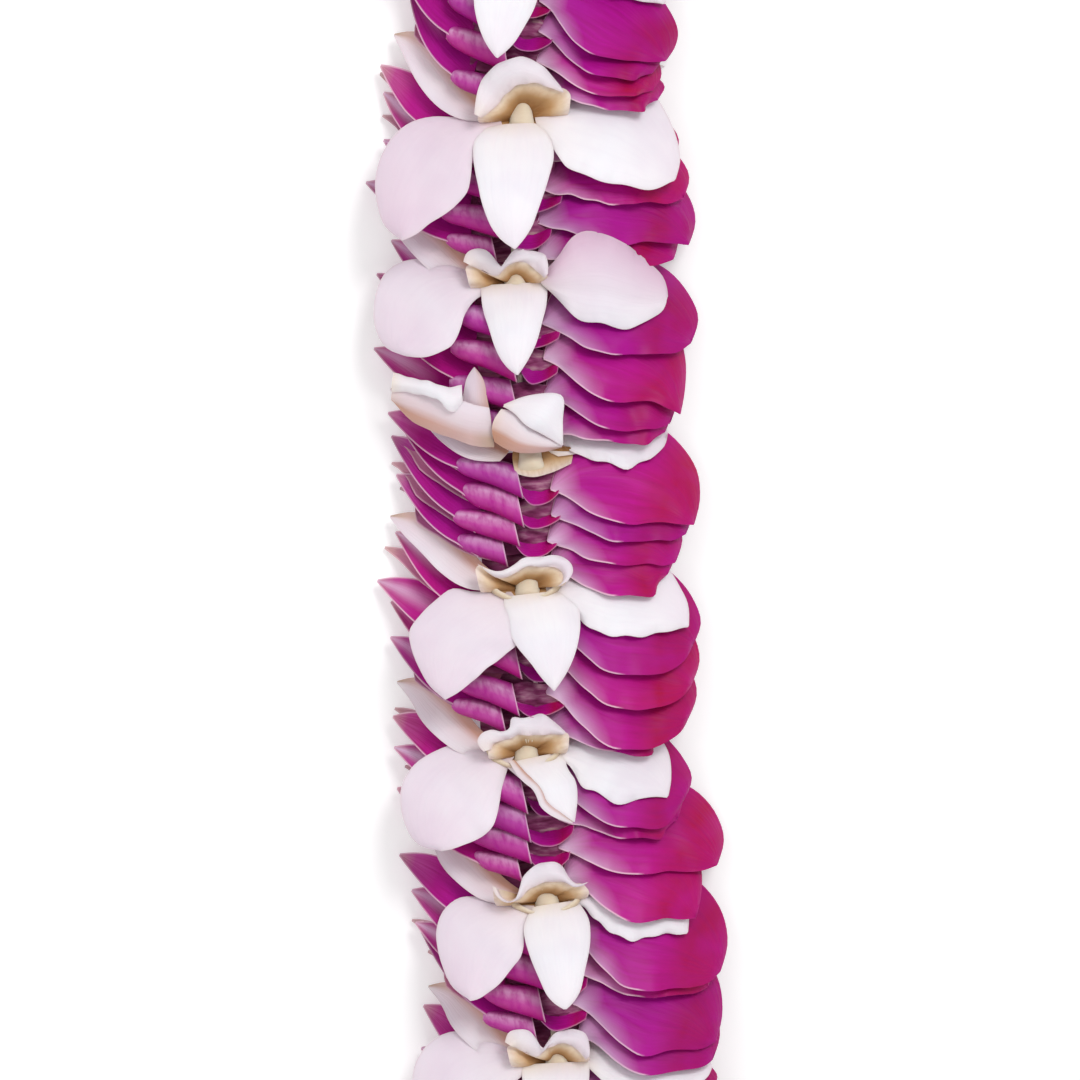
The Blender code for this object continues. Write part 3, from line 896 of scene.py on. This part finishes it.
def new_material(name, roughness, flesh_mm=0.0, flesh=0.0):
    """A material and its shader. A petal is a waxy skin over wet, light-scattering flesh."""
    finish = bpy.data.materials.new(name)
    finish.use_nodes = True
    tree = finish.node_tree
    shader = tree.nodes["Principled BSDF"]
    shader.inputs["Roughness"].default_value = roughness
    shader.inputs["IOR"].default_value = 1.4 if flesh else 1.5
    shader.inputs["Specular IOR Level"].default_value = 0.2
    shader.inputs["Subsurface Weight"].default_value = flesh
    shader.inputs["Subsurface Scale"].default_value = flesh_mm * MM
    shader.inputs["Subsurface Radius"].default_value = (1.0, 0.7, 0.8)
    return finish, tree, shader


def petal_fields(tree):
    """What every organ carries for its material, as sockets.

    along and across are the place on it, margin the distance from its margin in millimetres, tone its
    own random value, side 0 above and 1 below, buff how beige it is (painted shade on white organs,
    the throat's own cream, a beige tint on magenta ones) and pale its tint or pale claw, which on
    white petals is in places painted shade and on magenta ones brings a painted highlight along the
    margin.
    """
    petal_mark = add_node(tree, "Attribute", {}, attribute_name="petal")
    tone_mark = add_node(tree, "Attribute", {}, attribute_name="tone")
    place = add_node(tree, "SeparateXYZ", {0: petal_mark.outputs["Vector"]}).outputs
    tone = add_node(tree, "SeparateXYZ", {0: tone_mark.outputs["Color"]}).outputs
    return SimpleNamespace(
        along=place[0], across=place[1], margin=place[2],
        tone=tone[0], side=tone[1], buff=tone[2], pale=tone_mark.outputs["Alpha"],
    )


def vein_pattern(tree, fields, lines, crosswise=False):
    """Fine veins along an organ or across it, about so many side by side, as a 0 to 1 value."""
    run, over = (fields.across, fields.along) if crosswise else (fields.along, fields.across)
    long = add_node(tree, "Math", {0: run, 1: 1.6}, operation="MULTIPLY")
    wide = add_node(tree, "Math", {0: over, 1: lines / 4}, operation="MULTIPLY")
    own = add_node(tree, "Math", {0: fields.tone, 1: 37.0}, operation="MULTIPLY")
    place = add_node(tree, "CombineXYZ", {0: long.outputs[0], 1: wide.outputs[0], 2: own.outputs[0]})
    noise = add_node(tree, "TexNoise", {"Vector": place.outputs[0], "Scale": 1.6, "Detail": 3.0})
    return noise.outputs["Fac"]


def mottled(tree, base, tint, size_mm, stops):
    """The base colour with soft blotches of a tint, about size_mm wide, fixed to the piece."""
    place = add_node(tree, "TexCoord", {})
    blotches = add_node(tree, "TexNoise", {
        "Vector": place.outputs["Object"], "Scale": 1.0 / (size_mm * MM), "Detail": 2.0})
    shown = add_node(tree, "ValToRGB", {0: blotches.outputs["Fac"]}, stops)
    return add_node(tree, "Mix", {0: shown.outputs[0], 6: base, 7: tint}, data_type="RGBA").outputs[2]


def tinted(tree, colour, tone):
    """The colour, a little redder or bluer and lighter or darker from organ to organ."""
    shade = add_node(tree, "Math", {0: tone, 1: 0.5}, operation="SUBTRACT").outputs[0]
    hue = add_node(tree, "Math", {0: shade, 1: 0.025, 2: 0.5}, operation="MULTIPLY_ADD")
    value = add_node(tree, "Math", {0: shade, 1: 0.16, 2: 1.0}, operation="MULTIPLY_ADD")
    node = add_node(tree, "HueSaturation", {
        "Hue": hue.outputs[0], "Value": value.outputs[0], "Color": colour})
    return node.outputs[0]


def white_petal_material(colour):
    """White dendrobium petal: chalky lilac white, cream at the base, rosy underneath, with painted
    shade in lilac pink and buff where petals turn from the light or lie shaded.
    """
    finish, tree, shader = new_material(
        "white_dendrobium_petal", roughness=0.5, flesh_mm=1.5, flesh=0.2)
    fields = petal_fields(tree)
    base = add_node(tree, "ValToRGB", {0: fields.along}, (
        (0.0, "#f0e2d6"), (0.14, "#f4ecef"), (0.5, colour), (1.0, "#f3ebf1"))).outputs[0]
    veins = vein_pattern(tree, fields, 26.0)
    shown = add_node(tree, "ValToRGB", {0: veins}, ((0.45, 0.0), (0.75, 0.12))).outputs[0]
    base = add_node(tree, "Mix", {0: shown, 6: base, 7: "#e2d8e8"}, data_type="RGBA").outputs[2]
    base = mottled(tree, base, "#e4d8e6", 12.0, ((0.4, 0.0), (0.75, 0.5)))
    # Partly painted shade: the pale value mixes in lilac pink, which on the left petals and by the
    # right petal's upper margin stands for shade.
    base = add_node(tree, "Mix", {0: fields.pale, 6: base, 7: "#cf9fbd"}, data_type="RGBA").outputs[2]
    turn = add_node(
        tree, "Math", {0: fields.across, 1: 0.5, 2: 0.5}, operation="MULTIPLY_ADD").outputs[0]
    inside = add_node(tree, "ValToRGB", {0: turn}, ((0.0, 0.0), (0.5, 0.2), (1.0, 1.0))).outputs[0]
    rim = add_node(tree, "ValToRGB", {0: fields.margin}, ((0.12, 0.3), (0.6, 0.0))).outputs[0]
    base = add_node(tree, "Mix", {0: rim, 6: base, 7: "#dcc8c8"}, data_type="RGBA").outputs[2]
    # Painted shade: buff turns shaded, translucent faces beige, most towards their second margin.
    strength = add_node(
        tree, "Math", {0: fields.buff, 1: inside}, operation="MULTIPLY", use_clamp=True).outputs[0]
    beige_tint_and_shade = add_node(tree, "ValToRGB", {0: fields.along}, (
        (0.0, "#c09078"), (0.4, "#cfa498"), (0.8, "#d9b7b2"), (1.0, "#b9a08c"))).outputs[0]
    base = add_node(tree, "Mix", {0: strength, 6: base, 7: beige_tint_and_shade}, data_type="RGBA").outputs[2]
    under = add_node(tree, "Math", {0: fields.side, 1: 0.45}, operation="MULTIPLY").outputs[0]
    base = add_node(tree, "Mix", {0: under, 6: base, 7: "#e6d2d4"}, data_type="RGBA").outputs[2]
    tree.links.new(base, shader.inputs["Base Color"])
    relief = add_node(tree, "Bump", {"Height": veins, "Strength": 0.3, "Distance": 0.3 * MM})
    tree.links.new(relief.outputs[0], shader.inputs["Normal"])
    return finish


def magenta_petal_material(name, stops):
    """Magenta dendrobium petal: deep flesh, lavender by the claw, a thin pale line along the margin as
    painted highlight.
    """
    finish, tree, shader = new_material(name, roughness=0.42, flesh_mm=1.2, flesh=0.1)
    fields = petal_fields(tree)
    base = add_node(tree, "ValToRGB", {0: fields.along}, stops).outputs[0]
    veins = vein_pattern(tree, fields, 26.0)
    shown = add_node(tree, "ValToRGB", {0: veins}, ((0.38, 0.0), (0.76, 0.6))).outputs[0]
    base = add_node(tree, "Mix", {0: shown, 6: base, 7: "#980c62"}, data_type="RGBA").outputs[2]
    base = mottled(tree, base, "#b20f90", 9.0, ((0.42, 0.0), (0.72, 0.45)))
    pale = add_node(tree, "ValToRGB", {0: fields.pale}, ((0.1, 0.0), (0.62, 0.95))).outputs[0]
    base = add_node(tree, "Mix", {0: pale, 6: base, 7: "#dbb6d5"}, data_type="RGBA").outputs[2]
    under = add_node(tree, "Math", {0: fields.side, 1: 0.35}, operation="MULTIPLY").outputs[0]
    base = add_node(tree, "Mix", {0: under, 6: base, 7: "#c27ab0"}, data_type="RGBA").outputs[2]
    # Painted highlight: a thin pale line along the margins, where the edges catch the light.
    drawn = add_node(tree, "ValToRGB", {0: fields.pale}, ((0.01, 0.0), (0.07, 1.0))).outputs[0]
    rim = add_node(tree, "ValToRGB", {0: fields.margin}, ((0.1, 0.8), (0.38, 0.0))).outputs[0]
    line = add_node(tree, "Math", {0: rim, 1: drawn}, operation="MULTIPLY").outputs[0]
    base = add_node(tree, "Mix", {0: line, 6: base, 7: "#ecc4d6"}, data_type="RGBA").outputs[2]
    # Beige tint of the magenta sepals' backs and tips, their own colour, set by buff.
    beige_tint_and_shade = add_node(tree, "ValToRGB", {0: fields.along}, (
        (0.0, "#b98a8c"), (0.5, "#c692a6"), (0.85, "#d2b0ae"), (1.0, "#bda48e"))).outputs[0]
    base = add_node(tree, "Mix", {0: fields.buff, 6: base, 7: beige_tint_and_shade}, data_type="RGBA").outputs[2]
    tree.links.new(tinted(tree, base, fields.tone), shader.inputs["Base Color"])
    relief = add_node(tree, "Bump", {"Height": veins, "Strength": 0.4, "Distance": 0.3 * MM})
    tree.links.new(relief.outputs[0], shader.inputs["Normal"])
    return finish


def rolled_sepal_material():
    """Back of a rolled sepal with soft stripes: a painted highlight along the crest, painted shade in
    deep magenta to either side.
    """
    finish, tree, shader = new_material(
        "magenta_rolled_sepal", roughness=0.42, flesh_mm=1.2, flesh=0.1)
    fields = petal_fields(tree)
    # The colour across the roll is painted light: a pale highlight on the crest and painted shade
    # darkening down both sides.
    turn = add_node(
        tree, "Math", {0: fields.across, 1: 0.5, 2: 0.5}, operation="MULTIPLY_ADD").outputs[0]
    base = add_node(tree, "ValToRGB", {0: turn}, (
        (0.1, "#a81882"), (0.28, "#b8469e"), (0.4, "#d49bc7"), (0.56, "#bb4a9f"), (0.74, "#a8167c"),
        (0.9, "#9a0f62"))).outputs[0]
    stripes = vein_pattern(tree, fields, 26.0, crosswise=True)
    shown = add_node(tree, "ValToRGB", {0: stripes}, ((0.4, 0.0), (0.7, 0.7))).outputs[0]
    base = add_node(tree, "Mix", {0: shown, 6: base, 7: "#a8188a"}, data_type="RGBA").outputs[2]
    # Painted highlight: a thin pale line where the margin catches the light.
    rim = add_node(tree, "ValToRGB", {0: fields.margin}, ((0.15, 0.85), (0.5, 0.0))).outputs[0]
    base = add_node(tree, "Mix", {0: rim, 6: base, 7: "#e6bcd3"}, data_type="RGBA").outputs[2]
    tree.links.new(tinted(tree, base, fields.tone), shader.inputs["Base Color"])
    relief = add_node(tree, "Bump", {"Height": stripes, "Strength": 0.4, "Distance": 0.3 * MM})
    tree.links.new(relief.outputs[0], shader.inputs["Normal"])
    return finish


def throat_material():
    """Throat and column of a white blossom: cream tissue, tan where the light doesn't reach."""
    finish, tree, shader = new_material("cream_throat_tissue", roughness=0.45, flesh_mm=1.0, flesh=0.2)
    fields = petal_fields(tree)
    depth = add_node(
        tree, "Math", {0: fields.across, 1: 0.5, 2: 0.5}, operation="MULTIPLY_ADD").outputs[0]
    base = add_node(tree, "ValToRGB", {0: depth}, (
        (0.0, "#efdcd2"), (0.2, "#e2c9ac"), (0.45, "#c39a6c"), (0.75, "#94683e"),
        (1.0, "#75502e"))).outputs[0]
    base = add_node(tree, "Mix", {0: fields.buff, 6: base, 7: "#ebdfcb"}, data_type="RGBA").outputs[2]
    veins = vein_pattern(tree, fields, 50.0, crosswise=True)
    shown = add_node(tree, "ValToRGB", {0: veins}, ((0.4, 0.0), (0.75, 0.35))).outputs[0]
    bare = add_node(tree, "Math", {0: 1.0, 1: fields.buff}, operation="SUBTRACT").outputs[0]
    marked = add_node(tree, "Math", {0: shown, 1: bare}, operation="MULTIPLY").outputs[0]
    base = add_node(tree, "Mix", {0: marked, 6: base, 7: "#b98f63"}, data_type="RGBA").outputs[2]
    tree.links.new(base, shader.inputs["Base Color"])
    relief = add_node(tree, "Bump", {"Height": veins, "Strength": 0.05, "Distance": 0.2 * MM})
    tree.links.new(relief.outputs[0], shader.inputs["Normal"])
    return finish


def heart_material():
    """Dusky rose tissue deep in a magenta blossom; its darkest maroon is painted shade of the deep
    centre.
    """
    finish, tree, shader = new_material("heart_tissue_and_shade", roughness=0.5, flesh_mm=0.8, flesh=0.1)
    fields = petal_fields(tree)
    veins = vein_pattern(tree, fields, 6.0)
    # The dark maroon in the lowest tones is painted shade of the deep centre, with lighter rose and
    # beige tissue between.
    base = add_node(tree, "ValToRGB", {0: veins}, (
        (0.3, "#6a1f48"), (0.48, "#8c3f6c"), (0.62, "#a9708c"), (0.8, "#c9aca6"))).outputs[0]
    tree.links.new(base, shader.inputs["Base Color"])
    relief = add_node(tree, "Bump", {"Height": veins, "Strength": 0.2, "Distance": 0.3 * MM})
    tree.links.new(relief.outputs[0], shader.inputs["Normal"])
    return finish


def cotton_material(colour):
    """Cotton string: soft off-white, twisted plies that cross it about every 3 mm."""
    finish, tree, shader = new_material("cotton_string", roughness=0.9)
    place = add_node(tree, "TexCoord", {})
    plies = add_node(tree, "TexWave", {"Vector": place.outputs["Object"], "Scale": 1.0 / (3.0 * MM)},
                     bands_direction="DIAGONAL").outputs["Fac"]
    base = add_node(tree, "ValToRGB", {0: plies}, ((0.0, "#cfc6b4"), (1.0, colour))).outputs[0]
    tree.links.new(base, shader.inputs["Base Color"])
    relief = add_node(tree, "Bump", {"Height": plies, "Strength": 0.6, "Distance": 0.2 * MM})
    tree.links.new(relief.outputs[0], shader.inputs["Normal"])
    return finish


class LeiSettings(bpy.types.PropertyGroup):
    """What a user would change on the lei and its stage."""

    petal_thickness: bpy.props.FloatProperty(
        name="Petal thickness", description="Thickness of a white petal; the other organs follow it",
        default=0.45 * MM, min=0.1 * MM, max=1.0 * MM, unit="LENGTH",
    )
    white_colour: bpy.props.FloatVectorProperty(
        name="White petals", description="Colour half way along a white petal",
        default=srgb("#f5f2f8"), size=4, subtype="COLOR",
    )
    magenta_colour: bpy.props.FloatVectorProperty(
        name="Magenta petals", description="Colour half way along a broad magenta petal",
        default=srgb("#b40d8a"), size=4, subtype="COLOR",
    )
    string_colour: bpy.props.FloatVectorProperty(
        name="String", description="Colour of the cotton string", default=srgb("#efe9dc"), size=4,
        subtype="COLOR",
    )
    view_width: bpy.props.FloatProperty(
        name="View width", description="Width of the floor that the camera sees",
        default=0.225, unit="LENGTH",
    )
    view_height: bpy.props.FloatProperty(
        name="Camera height", description="Height of the camera over the floor",
        default=1.3, unit="LENGTH",
    )
    floor_colour: bpy.props.FloatVectorProperty(
        name="Floor", description="Colour of the floor",
        default=srgb("#fdfdfd"), size=4, subtype="COLOR",
    )
    floor_glow: bpy.props.FloatProperty(
        name="Floor glow", description="Light the floor gives by itself, like a light table",
        default=0.2,
    )


class LEI_OT_white_blossoms(bpy.types.Operator):
    """Models the white blossoms, one piece for each CAD node"""

    bl_idname = "lei.white_blossoms"
    bl_label = "White blossoms"

    def execute(self, context):
        settings = context.scene.lei
        finishes = [white_petal_material(settings.white_colour), throat_material()]
        for module in range(MODULES):
            chance = np.random.default_rng(SEED + module)
            across, throat, habit = white_place(module)
            organs = Organs(chance, settings.petal_thickness, finishes)
            organs.next_blossom(throat, across)
            if habit is FOLDED:
                add_folded_white(organs)
            else:
                add_white(organs, habit)
            name = f"white_blossom_{module + 1:02d}"
            piece = organs.join(f"{name}_petals", "white_petal")
            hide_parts(name)
            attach(piece, "root")
        put_sheets_away()
        return {"FINISHED"}


class LEI_OT_magenta_blossoms(bpy.types.Operator):
    """Models the stacks of magenta blossoms, one piece for each CAD node"""

    bl_idname = "lei.magenta_blossoms"
    bl_label = "Magenta blossoms"

    def execute(self, context):
        settings = context.scene.lei
        finishes = [
            magenta_petal_material("magenta_broad_petal", (
                (0.0, "#b03096"), (0.28, "#ac1690"), (0.56, settings.magenta_colour),
                (0.76, "#a60850"), (0.92, "#aa0a62"), (1.0, "#b01478"))),
            magenta_petal_material("magenta_narrow_petal", (
                (0.0, "#9c1274"), (0.35, "#ae1488"), (0.62, "#b21a86"), (0.84, "#bd5299"),
                (1.0, "#cfa6ac"))),
            rolled_sepal_material(), heart_material(),
        ]
        for module in range(MODULES):
            chance = np.random.default_rng(MAGENTA_SEED + module)
            here_across, here, _ = white_place(module)
            next_across, following, _ = white_place(module + 1)
            gap = (here - following) % LOOP_LENGTH
            organs = Organs(chance, settings.petal_thickness, finishes)
            for index in range(1, MAGENTA_IN_STACK + 1):
                share = index / (MAGENTA_IN_STACK + 1)
                across = here_across * (1 - share) + next_across * share + chance.uniform(-0.6, 0.6)
                build = magenta_build(module, index - 1, chance)
                organs.next_blossom(here - gap * share, across)
                add_magenta(organs, build, tucked=index == MAGENTA_IN_STACK)
            name = f"magenta_blossoms_{module + 1:02d}"
            piece = organs.join(f"{name}_petals", "magenta_petal")
            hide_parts(name)
            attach(piece, "root")
        put_sheets_away()
        return {"FINISHED"}


class LEI_OT_string(bpy.types.Operator):
    """Gives the cotton string its finish"""

    bl_idname = "lei.string"
    bl_label = "String"

    def execute(self, context):
        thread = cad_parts["thread"]
        finish = cotton_material(context.scene.lei.string_colour)
        if not thread.material_slots:
            thread.data.materials.append(finish)
        for slot in thread.material_slots:
            slot.material = finish
        return {"FINISHED"}


class LEI_OT_stage(bpy.types.Operator):
    """Lays the floor and sets the lights and the camera"""

    bl_idname = "lei.stage"
    bl_label = "Stage"

    def execute(self, context):
        settings = context.scene.lei
        bpy.ops.object.select_all(action="DESELECT")
        bpy.ops.mesh.primitive_plane_add(size=FLOOR_SIZE)
        floor = context.object
        floor.name = "floor"
        # Matt white board: no gloss and a faint light of its own, so the ground reads as pure white
        finish, _, shader = new_material("matt_white_board", roughness=0.9)
        shader.inputs["Base Color"].default_value = settings.floor_colour
        shader.inputs["Emission Color"].default_value = settings.floor_colour
        shader.inputs["Emission Strength"].default_value = settings.floor_glow
        floor.data.materials.append(finish)
        world = bpy.data.worlds.new("bright_studio")
        world.use_nodes = True
        background = world.node_tree.nodes["Background"]
        background.inputs["Color"].default_value = (1.0, 1.0, 1.0, 1.0)
        background.inputs["Strength"].default_value = SKY_STRENGTH
        context.scene.world = world
        target = Vector((*self.view_point(), 0.0))
        for name, offset, size, power in LAMPS:
            self.add_light(name, target, offset, size, power)
        self.add_camera(context, target, settings)
        context.scene.view_settings.view_transform = "Standard"
        context.scene.view_settings.look = "None"
        return {"FINISHED"}

    def view_point(self):
        """The middle of the view: on the loop's left side, a little inside the string."""
        along = white_throat(VIEW_MODULE) + VIEW_ALONG
        x, y = loop_points(np.array([along]), np.array([VIEW_ACROSS]))
        return float(x[0]), float(y[0])

    def add_light(self, name, target, offset, size, power):
        lamp = bpy.data.lights.new(name, "AREA")
        lamp.shape = "DISK"
        lamp.size = size
        lamp.energy = power
        holder = bpy.data.objects.new(name, lamp)
        bpy.context.scene.collection.objects.link(holder)
        holder.location = target + Vector(offset)
        holder.rotation_euler = Vector(offset).to_track_quat("Z", "Y").to_euler()

    def add_camera(self, context, target, settings):
        lens = bpy.data.cameras.new("camera")
        lens.sensor_width = SENSOR_WIDTH
        lens.lens = SENSOR_WIDTH * settings.view_height / settings.view_width
        lens.clip_end = VIEW_CLIP
        holder = bpy.data.objects.new("camera", lens)
        context.scene.collection.objects.link(holder)
        holder.location = (target.x, target.y, settings.view_height)
        context.scene.camera = holder


class LEI_PT_panel(bpy.types.Panel):
    """Lists the lei's sizes and steps in the sidebar"""

    bl_label = "Lei"
    bl_idname = "LEI_PT_panel"
    bl_space_type = "VIEW_3D"
    bl_region_type = "UI"
    bl_category = "Lei"

    def draw(self, context):
        for name in LeiSettings.__annotations__:
            self.layout.prop(context.scene.lei, name)
        for step in STEPS:
            self.layout.operator(step.bl_idname)


STEPS = (LEI_OT_stage, LEI_OT_white_blossoms, LEI_OT_magenta_blossoms, LEI_OT_string)
CLASSES = (LeiSettings, *STEPS, LEI_PT_panel)


def register():
    for item in CLASSES:
        bpy.utils.register_class(item)
    bpy.types.Scene.lei = bpy.props.PointerProperty(type=LeiSettings)


def unregister():
    del bpy.types.Scene.lei
    for item in reversed(CLASSES):
        bpy.utils.unregister_class(item)


def main():
    register()
    bpy.ops.lei.stage()
    bpy.ops.lei.white_blossoms()
    bpy.ops.lei.magenta_blossoms()
    bpy.ops.lei.string()


if __name__ == "__main__":
    main()
